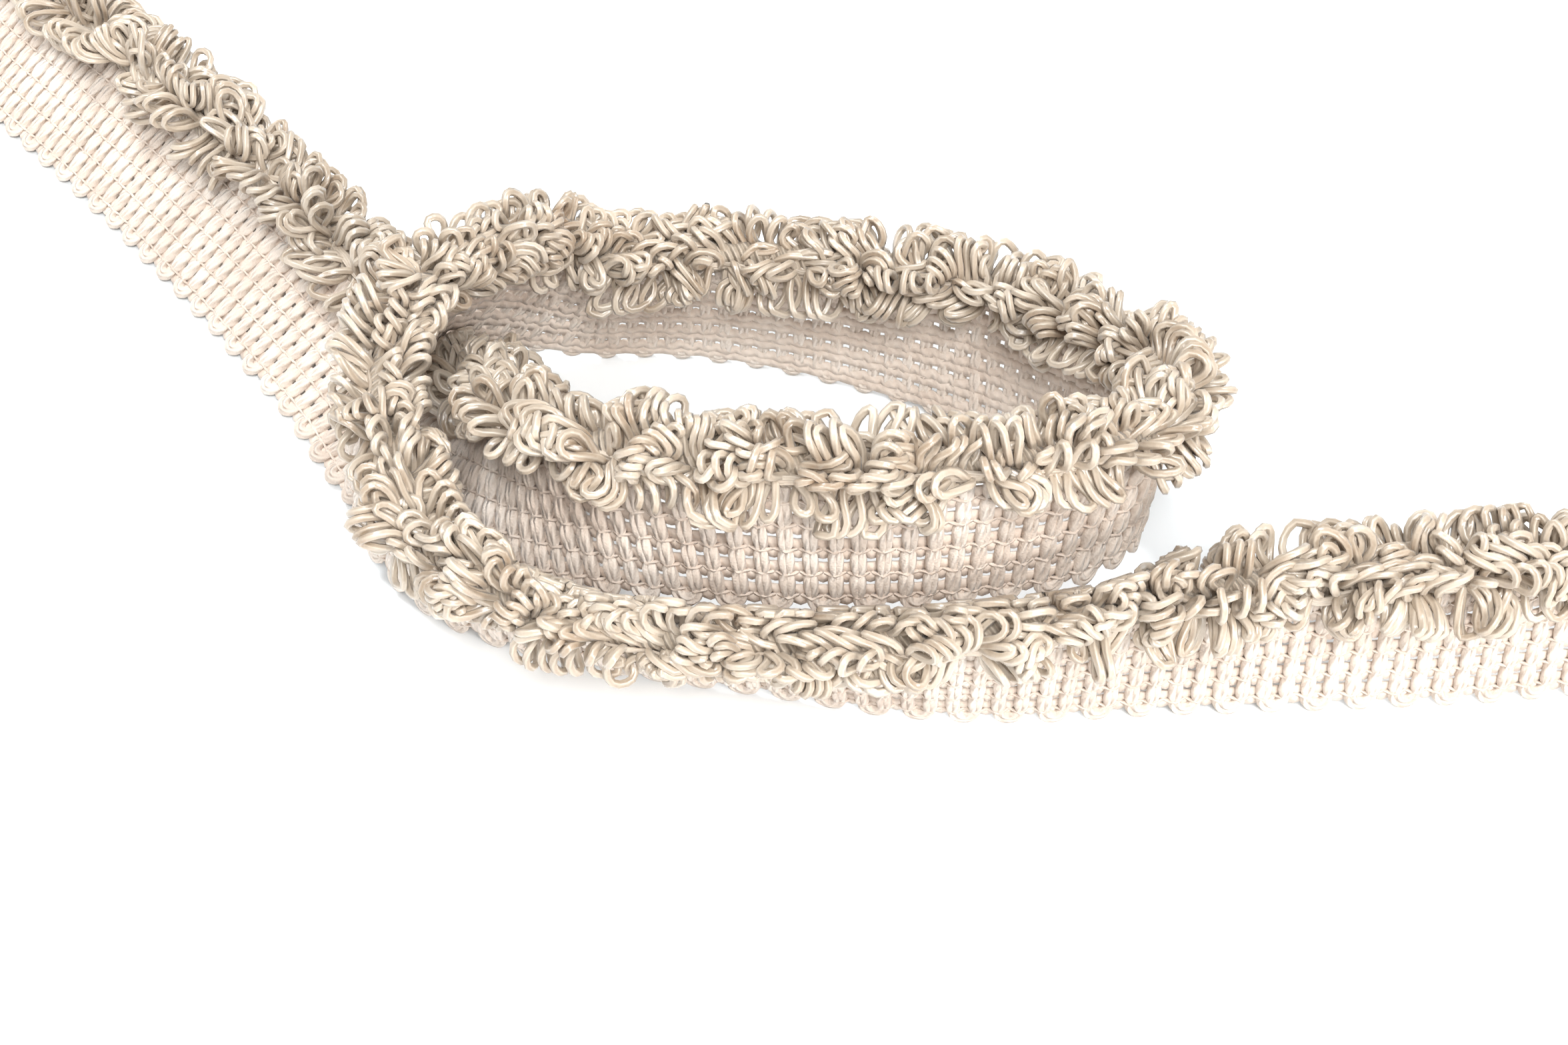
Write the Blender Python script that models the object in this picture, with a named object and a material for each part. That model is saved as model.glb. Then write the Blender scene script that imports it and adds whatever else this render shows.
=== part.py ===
# Loop fringe trim laid in one open turn: a woven tape that stands on its picot edge,
# and the bushy head of cord loops that is bound along its upper edge.
# Metres, +Z up. The origin is the middle of the trim's footprint, on the table.

import math

import bmesh
import bpy
import numpy as np

MM = 0.001

# Woven tape, measured from the tips of its picots
TAPE_HEIGHT = 21.2 * MM
TAPE_THICKNESS = 1.6 * MM
RIB_PITCH = 3.0 * MM
RIB_RISE = 0.25 * MM
RIBS_PER_PICOT = 2
PICOT_DEPTH = 2.0 * MM

# Backing of the head, a narrow strip just past the tape's upper edge
STRIP_GAP = 0.4 * MM
STRIP_HEIGHT = 4.6 * MM
STRIP_THICKNESS = 2.4 * MM
LOOP_PITCH = 4.45 * MM

# Loops of the head, each a lock of two or three cords
LOOP_REACH = 8.0 * MM
LOOP_HALF_WIDTH = 1.2 * MM
LOCK_RADIUS = 0.95 * MM
SHOULDER_SHARE = 0.5
SHOULDER_TURN = 0.45
# Columns: place of the station (0 shoulder, 1 crown), lateral share of the half width,
# share of the ring's outer direction that points along the route
STATIONS = (
    (0, -1.0, -1.0),
    (1, -0.5, -0.6),
    (1, 0.5, 0.6),
    (0, 1.0, 1.0),
)
# Columns: outer and top share of the lock's radius, a three-cornered ring
LOCK_CORNERS = (
    (0.6, -0.8),
    (-1.0, 0.0),
    (0.6, 0.8),
)
BACK_ORDER = 3
FAN_ANGLES = (92.0, -88.0, 20.0, -95.0, 78.0, -35.0, 98.0, -70.0)
REACH_SHARES = (1.0, 0.92, 1.06, 0.97, 0.88, 1.03, 0.95)
SQUASH_STEPS = (1.0, 0.88, 0.76, 0.64, 0.52, 0.42)

# Space that the loops keep to the rest of the trim
NEIGHBOUR_DISTANCE = 40.0 * MM
CLEARANCE = 0.6 * MM
PROBE_STEP = 2.0 * MM
PROBE_ROWS = 9

# Fine setting of the origin
CENTRE_X = 7.4 * MM
CENTRE_Y = -3.6 * MM

# The way the trim is laid, from the near cut end round the turn to the far one.
# Columns: x, y and height of the picot edge in mm, lean of the tape out of the turn in degrees
ROUTE = (
    (134.0, -70.4, 0.0, -6.0),
    (118.0, -71.4, 0.0, -5.0),
    (101.0, -72.8, 0.0, -3.5),
    (80.0, -73.8, 0.0, -1.5),
    (58.0, -74.7, 0.0, 4.0),
    (42.0, -75.8, 0.0, 11.0),
    (26.0, -74.9, 0.0, 18.5),
    (8.0, -71.2, 0.0, 25.5),
    (-9.0, -68.0, 0.0, 28.0),
    (-26.0, -63.7, 0.0, 21.0),
    (-39.0, -57.3, 0.0, 8.0),
    (-48.0, -49.2, 2.0, -4.0),
    (-53.5, -39.0, 6.0, -15.0),
    (-54.0, -28.5, 10.0, -24.0),
    (-50.0, -18.5, 12.5, -27.0),
    (-42.5, -10.0, 10.5, -22.0),
    (-33.0, -3.0, 4.5, -16.0),
    (-22.0, 0.0, 0.5, -15.0),
    (-7.0, 0.2, 0.0, -12.0),
    (11.0, -3.8, 0.0, -5.0),
    (26.0, -9.7, 0.0, 1.0),
    (39.5, -18.0, 1.0, 7.0),
    (51.0, -28.5, 3.5, 8.0),
    (59.0, -41.0, 7.5, 5.0),
    (59.0, -54.0, 12.0, 3.0),
    (49.5, -65.0, 15.5, 0.0),
    (34.0, -70.5, 17.5, -2.0),
    (18.0, -72.3, 18.0, -3.5),
    (2.0, -70.6, 17.0, -4.5),
    (-13.0, -65.5, 13.5, -9.0),
    (-29.0, -57.0, 7.5, -27.0),
    (-44.5, -46.0, 3.0, -56.0),
    (-57.0, -33.0, 0.4, -74.0),
    (-67.0, -17.0, 0.0, -70.0),
    (-77.5, -2.5, 0.0, -63.0),
    (-93.0, 17.4, 0.0, -60.0),
    (-113.0, 41.5, 0.0, -58.0),
    (-135.0, 66.0, 0.0, -58.0),
    (-148.5, 81.0, 0.0, -58.0),
)

SAMPLE_STEP = 0.5 * MM
STEEP_LEAN = 35.0
ON_TABLE = 0.05 * MM
TABLE_SNAP = 0.3 * MM


class Route:
    """Smooth way of the picot edge, with the tape's upward and facing directions."""

    def __init__(self, rows):
        rows = np.array(rows)
        rows[:, :3] *= MM
        rows[:, 0] += CENTRE_X
        rows[:, 1] += CENTRE_Y
        chords = np.linalg.norm(np.diff(rows[:, :3], axis=0), axis=1)
        knots = np.concatenate(([0.0], np.cumsum(chords)))
        slopes = np.gradient(rows, knots, axis=0)
        count = int(knots[-1] / SAMPLE_STEP) + 1
        self.length = knots[-1]
        self.s = np.linspace(0.0, self.length, count)
        span = np.clip(np.searchsorted(knots, self.s, side="right") - 1, 0, len(knots) - 2)
        width = (knots[span + 1] - knots[span])[:, None]
        u = (self.s - knots[span])[:, None] / width
        table = (
            (2 * u**3 - 3 * u**2 + 1) * rows[span]
            + (u**3 - 2 * u**2 + u) * width * slopes[span]
            + (3 * u**2 - 2 * u**3) * rows[span + 1]
            + (u**3 - u**2) * width * slopes[span + 1]
        )
        lean = np.radians(table[:, 3])[:, None]
        foot = table[:, :3].copy()
        foot[:, 2] = np.maximum(foot[:, 2], 0.0)
        self.lean = table[:, 3]
        self.on_table = foot[:, 2] < ON_TABLE
        foot[:, 2] += 0.5 * TAPE_THICKNESS * np.abs(np.sin(lean[:, 0]))
        along = np.gradient(foot, self.s, axis=0)
        along /= np.linalg.norm(along, axis=1)[:, None]
        outward = np.stack([-along[:, 1], along[:, 0], np.zeros(count)], axis=1)
        outward /= np.linalg.norm(outward, axis=1)[:, None]
        upward = np.cross(along, outward)
        self.foot = foot
        self.rise = np.cos(lean) * upward + np.sin(lean) * outward
        self.face = -np.sin(lean) * upward + np.cos(lean) * outward

    def read(self, values, s):
        return np.array([np.interp(s, self.s, values[:, axis]) for axis in range(3)])

    def point(self, s, out, up):
        """World point at s along the edge, out from the tape's middle plane, up its height."""
        return self.read(self.foot, s) + up * self.read(self.rise, s) + out * self.read(self.face, s)

    def spine_steps(self, up, pitch):
        """Values of s that lie about one pitch apart along the line at the given height."""
        line = self.foot + up * self.rise
        travel = np.concatenate(([0.0], np.cumsum(np.linalg.norm(np.diff(line, axis=0), axis=1))))
        count = int(travel[-1] // pitch)
        return np.interp(np.linspace(0.0, travel[-1], count + 1), travel, self.s)


def clear_scene():
    for old in list(bpy.data.objects):
        bpy.data.objects.remove(old, do_unlink=True)


def make_material(name, colour, roughness):
    material = bpy.data.materials.new(name)
    material.use_nodes = True
    shader = material.node_tree.nodes["Principled BSDF"]
    shader.inputs["Base Color"].default_value = (*colour, 1.0)
    shader.inputs["Roughness"].default_value = roughness
    shader.inputs["Metallic"].default_value = 0.0
    return material


def add_object(name, mesh_data, material, collection):
    bmesh.ops.recalc_face_normals(mesh_data, faces=mesh_data.faces)
    mesh = bpy.data.meshes.new(name)
    mesh_data.to_mesh(mesh)
    mesh_data.free()
    mesh.materials.append(material)
    piece = bpy.data.objects.new(name, mesh)
    collection.objects.link(piece)
    return piece


def build_tape(route):
    """Ribbed sheet with a picot under every second rib, swept along the route."""
    mesh_data = bmesh.new()
    columns = int(route.length / (RIB_PITCH / 2))
    per_picot = 2 * RIBS_PER_PICOT
    previous = None
    for column in range(columns + 1):
        s = route.length * column / columns
        phase = column % per_picot
        on_rib = phase % 2 == 1
        half = TAPE_THICKNESS / 2 + (RIB_RISE / 2 if on_rib else -RIB_RISE / 2)
        low = PICOT_DEPTH if phase == 0 else 0.0
        corners = [
            route.point(s, half, low),
            route.point(s, half, TAPE_HEIGHT),
            route.point(s, -half, TAPE_HEIGHT),
            route.point(s, -half, low),
        ]
        nearest = min(int(s / SAMPLE_STEP), len(route.s) - 1)
        if route.on_table[nearest] and low == 0.0:
            flat = abs(route.lean[nearest]) < STEEP_LEAN
            for corner in (corners[0], corners[3]):
                if flat or corner[2] < TABLE_SNAP:
                    corner[2] = 0.0
        for corner in corners:
            corner[2] = max(corner[2], 0.0)
        ring = [mesh_data.verts.new(corner) for corner in corners]
        if previous is None:
            mesh_data.faces.new(ring)
        else:
            for side in range(4):
                after = (side + 1) % 4
                mesh_data.faces.new((previous[side], previous[after], ring[after], ring[side]))
        previous = ring
    mesh_data.faces.new(previous)
    return mesh_data


def obstacles(route):
    """Probe points on the tape and on the head's middle line, with their place along the route."""
    places = np.arange(0.0, route.length, PROBE_STEP)
    tape = [(s, route.point(s, 0.0, up)) for s in places for up in np.linspace(0.0, TAPE_HEIGHT, PROBE_ROWS)]
    middle = STRIP_GAP + TAPE_HEIGHT + STRIP_HEIGHT / 2
    head = [(s, route.point(s, 0.0, middle)) for s in places]
    return (
        (np.array([row[0] for row in tape]), np.array([row[1] for row in tape])),
        (np.array([row[0] for row in head]), np.array([row[1] for row in head])),
    )


def nearest_gap(places, points, s, probe):
    far = np.abs(places - s) > NEIGHBOUR_DISTANCE
    return np.min(np.linalg.norm(points[far] - probe, axis=1))


def loop_rings(route, start, end, side, angle, reach):
    """Four three-cornered rings of one arch between its two roots in the strip's cell."""
    middle = (start + end) / 2
    stretch = (end - start) / LOOP_PITCH
    height = TAPE_HEIGHT + STRIP_GAP + STRIP_HEIGHT / 2
    first = math.radians(angle * SHOULDER_TURN)
    final = math.radians(angle)
    leg = SHOULDER_SHARE * reach * np.array([math.cos(first), math.sin(first)])
    shoulder = np.array([STRIP_THICKNESS / 2, 0.0]) + leg
    crown = shoulder + (1 - SHOULDER_SHARE) * reach * np.array([math.cos(final), math.sin(final)])
    places = ((shoulder, first), (crown, final))
    rings = []
    for station, lateral, aside in STATIONS:
        place, direction = places[station]
        out_way = np.array([math.cos(direction), math.sin(direction)])
        top_way = np.array([-math.sin(direction), math.cos(direction)])
        ahead = math.sqrt(max(0.0, 1.0 - aside**2))
        ring = []
        for outer, top in LOCK_CORNERS:
            along = lateral * LOOP_HALF_WIDTH + LOCK_RADIUS * outer * aside
            spot = place + LOCK_RADIUS * (outer * ahead * out_way + top * top_way)
            ring.append(route.point(middle + along * stretch, side * spot[0], height + spot[1]))
        rings.append(ring)
    return rings


def fits(route, probes, start, rings):
    """True where an arch clears the table, other stretches of tape and half way to other heads."""
    (tape_places, tape_points), (head_places, head_points) = probes
    height = TAPE_HEIGHT + STRIP_GAP + STRIP_HEIGHT / 2
    root = route.point(start, 0.0, height)
    for ring in rings:
        for corner in ring:
            if corner[2] < CLEARANCE:
                return False
            if nearest_gap(tape_places, tape_points, start, corner) < TAPE_THICKNESS / 2 + 2 * CLEARANCE:
                return False
            own = np.linalg.norm(corner - root)
            if nearest_gap(head_places, head_points, start, corner) < own + CLEARANCE:
                return False
    return True


def build_head(route):
    """Strip with one cell a pitch, each cell's two faces bridged by an arch."""
    probes = obstacles(route)
    low = TAPE_HEIGHT + STRIP_GAP
    high = low + STRIP_HEIGHT
    half = STRIP_THICKNESS / 2
    steps = route.spine_steps((low + high) / 2, LOOP_PITCH)
    mesh_data = bmesh.new()
    columns = []
    for s in steps:
        corners = ((half, low), (half, high), (-half, high), (-half, low))
        columns.append([mesh_data.verts.new(route.point(s, out, up)) for out, up in corners])
    mesh_data.faces.new(columns[0])
    mesh_data.faces.new(columns[-1])
    loops = 0
    for cell in range(len(columns) - 1):
        near, far = columns[cell], columns[cell + 1]
        mesh_data.faces.new((near[1], far[1], far[2], near[2]))
        mesh_data.faces.new((near[3], far[3], far[0], near[0]))
        for side, bottom, top in ((1.0, 0, 1), (-1.0, 3, 2)):
            order = cell + (0 if side > 0 else BACK_ORDER)
            angle = FAN_ANGLES[order % len(FAN_ANGLES)]
            share = REACH_SHARES[order % len(REACH_SHARES)]
            rings = None
            for squash in SQUASH_STEPS:
                tried = loop_rings(route, steps[cell], steps[cell + 1], side, angle,
                                   LOOP_REACH * share * squash)
                if fits(route, probes, steps[cell], tried):
                    rings = tried
                    break
            if rings is None:
                mesh_data.faces.new((near[bottom], far[bottom], far[top], near[top]))
                continue
            chain = [(near[bottom], far[bottom], near[top])]
            chain += [[mesh_data.verts.new(corner) for corner in ring] for ring in rings]
            chain.append((far[bottom], near[top], far[top]))
            for first, second in zip(chain, chain[1:]):
                for k in range(3):
                    after = (k + 1) % 3
                    mesh_data.faces.new((first[k], first[after], second[after], second[k]))
            loops += 1
    print("loops", loops)
    return mesh_data


def main():
    clear_scene()
    collection = bpy.data.collections.new("loop_fringe_trim")
    bpy.context.scene.collection.children.link(collection)
    route = Route(ROUTE)
    cotton = make_material("tape_cotton", (0.83, 0.73, 0.65), 0.95)
    cord = make_material("loop_cord", (0.68, 0.57, 0.44), 0.55)
    add_object("woven_tape", build_tape(route), cotton, collection)
    add_object("loop_head", build_head(route), cord, collection)


main()
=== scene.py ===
import math

import bpy
import numpy as np
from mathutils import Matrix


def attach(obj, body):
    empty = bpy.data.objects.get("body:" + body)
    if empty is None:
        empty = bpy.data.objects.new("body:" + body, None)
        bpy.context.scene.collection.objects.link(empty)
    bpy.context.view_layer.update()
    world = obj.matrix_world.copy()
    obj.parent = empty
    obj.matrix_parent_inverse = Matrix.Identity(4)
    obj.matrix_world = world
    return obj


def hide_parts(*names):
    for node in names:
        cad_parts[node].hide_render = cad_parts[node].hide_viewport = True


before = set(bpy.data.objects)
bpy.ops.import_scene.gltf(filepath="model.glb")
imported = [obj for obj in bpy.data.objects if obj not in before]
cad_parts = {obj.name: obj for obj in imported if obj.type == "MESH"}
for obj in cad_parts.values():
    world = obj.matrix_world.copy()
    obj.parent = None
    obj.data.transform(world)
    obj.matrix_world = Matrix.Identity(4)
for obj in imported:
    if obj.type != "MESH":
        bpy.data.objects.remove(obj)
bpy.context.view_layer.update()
mm = 0.001
rng = np.random.default_rng(4711)

# The way the trim is laid, the same rows as the CAD's sweep.
# x, y and height of the picot edge in mm, lean of the tape out of the turn in degrees
routeRows = (
    (134.0, -70.4, 0.0, -6.0),
    (118.0, -71.4, 0.0, -5.0),
    (101.0, -72.8, 0.0, -3.5),
    (80.0, -73.8, 0.0, -1.5),
    (58.0, -74.7, 0.0, 4.0),
    (42.0, -75.8, 0.0, 11.0),
    (26.0, -74.9, 0.0, 18.5),
    (8.0, -71.2, 0.0, 25.5),
    (-9.0, -68.0, 0.0, 28.0),
    (-26.0, -63.7, 0.0, 21.0),
    (-39.0, -57.3, 0.0, 8.0),
    (-48.0, -49.2, 2.0, -4.0),
    (-53.5, -39.0, 6.0, -15.0),
    (-54.0, -28.5, 10.0, -24.0),
    (-50.0, -18.5, 12.5, -27.0),
    (-42.5, -10.0, 10.5, -22.0),
    (-33.0, -3.0, 4.5, -16.0),
    (-22.0, 0.0, 0.5, -15.0),
    (-7.0, 0.2, 0.0, -12.0),
    (11.0, -3.8, 0.0, -5.0),
    (26.0, -9.7, 0.0, 1.0),
    (39.5, -18.0, 1.0, 7.0),
    (51.0, -28.5, 3.5, 8.0),
    (59.0, -41.0, 7.5, 5.0),
    (59.0, -54.0, 12.0, 3.0),
    (49.5, -65.0, 15.5, 0.0),
    (34.0, -70.5, 17.5, -2.0),
    (18.0, -72.3, 18.0, -3.5),
    (2.0, -70.6, 17.0, -4.5),
    (-13.0, -65.5, 13.5, -9.0),
    (-29.0, -57.0, 7.5, -27.0),
    (-44.5, -46.0, 3.0, -56.0),
    (-57.0, -33.0, 0.4, -74.0),
    (-67.0, -17.0, 0.0, -70.0),
    (-77.5, -2.5, 0.0, -63.0),
    (-93.0, 17.4, 0.0, -60.0),
    (-113.0, 41.5, 0.0, -58.0),
    (-135.0, 66.0, 0.0, -58.0),
    (-148.5, 81.0, 0.0, -58.0),
)
originShift = (7.4, -3.6)  # to the middle of the footprint, in mm
tapeHalf = 0.8 * mm
spineUp = 24.6 * mm  # height of the binding line over the picot tips


def unit(vectors):
    return vectors / np.maximum(np.linalg.norm(vectors, axis=-1, keepdims=True), 1e-12)


def dot(first, second):
    return np.sum(first * second, axis=-1, keepdims=True)


class Route:
    # The picot edge with the tape's rise and facing directions, read at any place s.

    def __init__(self, rows):
        rows = np.array(rows)
        rows[:, :3] *= mm
        rows[:, 0] += originShift[0] * mm
        rows[:, 1] += originShift[1] * mm
        chords = np.linalg.norm(np.diff(rows[:, :3], axis=0), axis=1)
        knots = np.concatenate(([0.0], np.cumsum(chords)))
        slopes = np.gradient(rows, knots, axis=0)
        count = int(knots[-1] / (0.5 * mm)) + 1
        self.length = knots[-1]
        self.s = np.linspace(0.0, self.length, count)
        span = np.clip(np.searchsorted(knots, self.s, side="right") - 1, 0, len(knots) - 2)
        width = (knots[span + 1] - knots[span])[:, None]
        u = (self.s - knots[span])[:, None] / width
        table = (
            (2 * u**3 - 3 * u**2 + 1) * rows[span]
            + (u**3 - 2 * u**2 + u) * width * slopes[span]
            + (3 * u**2 - 2 * u**3) * rows[span + 1]
            + (u**3 - u**2) * width * slopes[span + 1]
        )
        lean = np.radians(table[:, 3])[:, None]
        foot = table[:, :3].copy()
        foot[:, 2] = np.maximum(foot[:, 2], 0.0)
        foot[:, 2] += tapeHalf * np.abs(np.sin(lean[:, 0]))
        self.along = unit(np.gradient(foot, self.s, axis=0))
        flat = np.stack([-self.along[:, 1], self.along[:, 0], np.zeros(count)], axis=1)
        flat = unit(flat)
        upward = np.cross(self.along, flat)
        self.foot = foot
        self.rise = np.cos(lean) * upward + np.sin(lean) * flat
        self.face = -np.sin(lean) * upward + np.cos(lean) * flat
        spine = foot + spineUp * self.rise
        steps = np.linalg.norm(np.diff(spine, axis=0), axis=1)
        self.travel = np.concatenate(([0.0], np.cumsum(steps)))

    def read(self, values, s):
        # One of the route's vectors at every place in s.
        s = np.clip(s, 0.0, self.length)
        return np.stack([np.interp(s, self.s, values[:, axis]) for axis in range(3)], axis=-1)

    def point(self, s, out, up):
        # Points at s along the edge, out of the tape's middle plane, up its height.
        over = np.where(s < 0, s, np.where(s > self.length, s - self.length, 0.0))
        foot = self.read(self.foot, s) + over[..., None] * self.read(self.along, s)
        rise = self.read(self.rise, s)
        face = self.read(self.face, s)
        return foot + np.asarray(up)[..., None] * rise + np.asarray(out)[..., None] * face


route = Route(routeRows)


def makeMesh(name, verts, quads, uvs, caps, material):
    # A smooth-shaded object from arrays: quads with a UV per corner, and flat end caps.
    corners = np.concatenate([quads.ravel(), caps.ravel()]).astype(np.int32)
    capStarts = quads.size + np.arange(len(caps)) * caps.shape[1]
    starts = np.concatenate([np.arange(len(quads)) * 4, capStarts]).astype(np.int32)
    uvs = np.concatenate([uvs, np.zeros((caps.size, 2))])
    mesh = bpy.data.meshes.new(name)
    mesh.vertices.add(len(verts))
    mesh.vertices.foreach_set("co", np.asarray(verts, dtype=np.float32).ravel())
    mesh.loops.add(len(corners))
    mesh.loops.foreach_set("vertex_index", corners)
    mesh.polygons.add(len(starts))
    mesh.polygons.foreach_set("loop_start", starts)
    mesh.update(calc_edges=True)
    mesh.polygons.foreach_set("use_smooth", np.ones(len(starts), dtype=bool))
    layer = mesh.uv_layers.new(name="yarn")
    layer.uv.foreach_set("vector", uvs.astype(np.float32).ravel())
    mesh.validate()
    mesh.materials.append(material)
    piece = bpy.data.objects.new(name, mesh)
    bpy.context.scene.collection.objects.link(piece)
    return piece


def tubes(paths, wide, deep, deepWay, sides, firstAngle=0.0):
    # Tubes round paths (n, rings, 3). UV: turns round the tube, millimetres along it.
    paths, deepWay = np.array(paths), np.array(deepWay)
    count, rings = paths.shape[:2]
    way = unit(np.gradient(paths, axis=1))
    deepAxis = unit(deepWay - dot(deepWay, way) * way)
    wideAxis = np.cross(way, deepAxis)
    angle = firstAngle + 2 * math.pi * np.arange(sides) / sides
    shape = (count, rings, 1, 1)
    wide = np.broadcast_to(wide, (count, rings)).reshape(shape)
    deep = np.broadcast_to(deep, (count, rings)).reshape(shape)
    verts = (
        paths[:, :, None]
        + np.cos(angle)[:, None] * wide * wideAxis[:, :, None]
        + np.sin(angle)[:, None] * deep * deepAxis[:, :, None]
    )
    first = (np.arange(count)[:, None, None] * rings + np.arange(rings - 1)[:, None]) * sides
    near = first + np.arange(sides)
    beside = first + (np.arange(sides) + 1) % sides
    quads = np.stack([near, near + sides, beside + sides, beside], axis=-1).reshape(-1, 4)
    steps = np.linalg.norm(np.diff(paths, axis=1), axis=2)
    run = np.concatenate([np.zeros((count, 1)), np.cumsum(steps, axis=1)], axis=1) / mm
    turn = np.arange(sides) / sides
    low = np.broadcast_to(run[:, :-1, None], (count, rings - 1, sides))
    high = np.broadcast_to(run[:, 1:, None], (count, rings - 1, sides))
    left = np.broadcast_to(turn, low.shape)
    right = left + 1.0 / sides
    uvs = np.stack([
        np.stack([left, low], axis=-1),
        np.stack([left, high], axis=-1),
        np.stack([right, high], axis=-1),
        np.stack([right, low], axis=-1),
    ], axis=-2).reshape(-1, 2)
    firstCap = np.arange(count)[:, None] * rings * sides + np.arange(sides)
    lastCap = firstCap + (rings - 1) * sides
    caps = np.concatenate([firstCap, lastCap[:, ::-1]])
    return verts.reshape(-1, 3), quads, uvs, caps


def nodesOf(name):
    # A new material, its node tree and a helper that adds and links nodes.
    material = bpy.data.materials.new(name)
    material.use_nodes = True
    tree = material.node_tree
    shader = tree.nodes["Principled BSDF"]

    def add(kind, settings=None, inputs=None):
        node = tree.nodes.new(kind)
        for key, value in (settings or {}).items():
            setattr(node, key, value)
        for key, value in (inputs or {}).items():
            if isinstance(value, bpy.types.NodeSocket):
                tree.links.new(value, node.inputs[key])
            else:
                node.inputs[key].default_value = value
        return node

    return material, tree, shader, add


def rampNode(add, factor, stops):
    node = add("ShaderNodeValToRGB", None, {"Fac": factor})
    ramp = node.color_ramp
    while len(ramp.elements) < len(stops):
        ramp.elements.new(0.5)
    for element, (place, colour) in zip(ramp.elements, stops):
        element.position = place
        element.color = (*colour, 1.0)
    return node.outputs["Color"]


def yarnMaterial(name, look):
    # Twisted yarn: plies round the tube from its UVs, hair-fine fibres, uneven dye. Where the ply and fibre
    # bump sinks, the colour darkens: painted shade in the hollows.
    material, tree, shader, add = nodesOf(name)
    place = add("ShaderNodeTexCoord")
    parts = add("ShaderNodeSeparateXYZ", None, {"Vector": place.outputs["UV"]})
    turns = add("ShaderNodeMath", {"operation": "MULTIPLY"}, {0: parts.outputs["X"], 1: look["plies"]})
    lay = add("ShaderNodeMath", {"operation": "MULTIPLY"}, {0: parts.outputs["Y"], 1: look["twist"]})
    phase = add("ShaderNodeMath", {"operation": "ADD"}, {0: turns.outputs[0], 1: lay.outputs[0]})
    angle = add("ShaderNodeMath", {"operation": "MULTIPLY"}, {0: phase.outputs[0], 1: math.tau})
    ply = add("ShaderNodeMath", {"operation": "SINE"}, {0: angle.outputs[0]})
    fine = add("ShaderNodeTexNoise", None, {
        "Vector": place.outputs["Object"],
        "Scale": look["fibreScale"],
        "Detail": 3.0,
        "Roughness": 0.6,
    })
    patch = add("ShaderNodeTexNoise", None, {
        "Vector": place.outputs["Object"],
        "Scale": look["patchScale"],
        "Detail": 2.0,
    })
    # the ply and fibre terms darken the colour in the hollows of the bump as painted shade; the patch noise
    # is uneven dye
    plyShadeAndDye = add("ShaderNodeMath", {"operation": "MULTIPLY_ADD"}, {
        0: ply.outputs[0],
        1: look["plyShade"],
        2: patch.outputs["Fac"],
    })
    shade = add("ShaderNodeMath", {"operation": "MULTIPLY_ADD"}, {
        0: fine.outputs["Fac"],
        1: look["fibreShade"],
        2: plyShadeAndDye.outputs[0],
    })
    colour = rampNode(add, shade.outputs[0], look["colours"])
    tree.links.new(colour, shader.inputs["Base Color"])
    height = add("ShaderNodeMath", {"operation": "MULTIPLY_ADD"}, {
        0: fine.outputs["Fac"],
        1: look["fibreBump"],
        2: ply.outputs[0],
    })
    bump = add("ShaderNodeBump", None, {
        "Height": height.outputs[0],
        "Strength": look["bump"],
        "Distance": look["bumpDepth"],
    })
    tree.links.new(bump.outputs["Normal"], shader.inputs["Normal"])
    shader.inputs["Roughness"].default_value = look["roughness"]
    shader.inputs["Specular IOR Level"].default_value = look["specular"]
    shader.inputs["Sheen Weight"].default_value = look["sheen"]
    shader.inputs["Sheen Roughness"].default_value = 0.4
    return material


# plies are turns of painted shade and bump round a yarn, and twist their turns in a millimetre along it.
# Colours run from the hollows, darkened as painted shade, to the raised fibres; the patches shift them as
# uneven dye.
cordMaterial = yarnMaterial("satin_cord", {
    "plies": 4.0,
    "twist": 0.14,
    "fibreScale": 2600.0,
    "patchScale": 140.0,
    "plyShade": 0.07,
    "fibreShade": 0.22,
    "colours": (
        (0.30, (0.34, 0.24, 0.16)),
        (0.55, (0.485, 0.392, 0.300)),
        (0.85, (0.62, 0.528, 0.428)),
    ),
    "fibreBump": 0.5,
    "bump": 0.6,
    "bumpDepth": 0.09 * mm,
    "roughness": 0.30,
    "specular": 0.95,
    "sheen": 0.15,
})

tapeMaterial = yarnMaterial("tape_cotton", {
    "plies": 3.0,
    "twist": 0.30,
    "fibreScale": 3200.0,
    "patchScale": 90.0,
    "plyShade": 0.06,
    "fibreShade": 0.35,
    "colours": (
        (0.35, (0.59, 0.475, 0.395)),
        (0.62, (0.73, 0.62, 0.53)),
        (0.90, (0.82, 0.73, 0.65)),
    ),
    "fibreBump": 1.6,
    "bump": 0.8,
    "bumpDepth": 0.14 * mm,
    "roughness": 0.85,
    "specular": 0.2,
    "sheen": 0.25,
})

# The warp takes the tape's cotton a little darker and warmer: painted shade in the gaps between the columns
warpMaterial = yarnMaterial("warp_cotton_painted_shade", {
    "plies": 2.0,
    "twist": 0.6,
    "fibreScale": 3200.0,
    "patchScale": 110.0,
    "plyShade": 0.06,
    "fibreShade": 0.35,
    "colours": (
        (0.35, (0.56, 0.44, 0.36)),
        (0.62, (0.68, 0.56, 0.47)),
        (0.90, (0.77, 0.66, 0.57)),
    ),
    "fibreBump": 1.6,
    "bump": 0.5,
    "bumpDepth": 0.10 * mm,
    "roughness": 0.85,
    "specular": 0.2,
    "sheen": 0.25,
})

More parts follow.
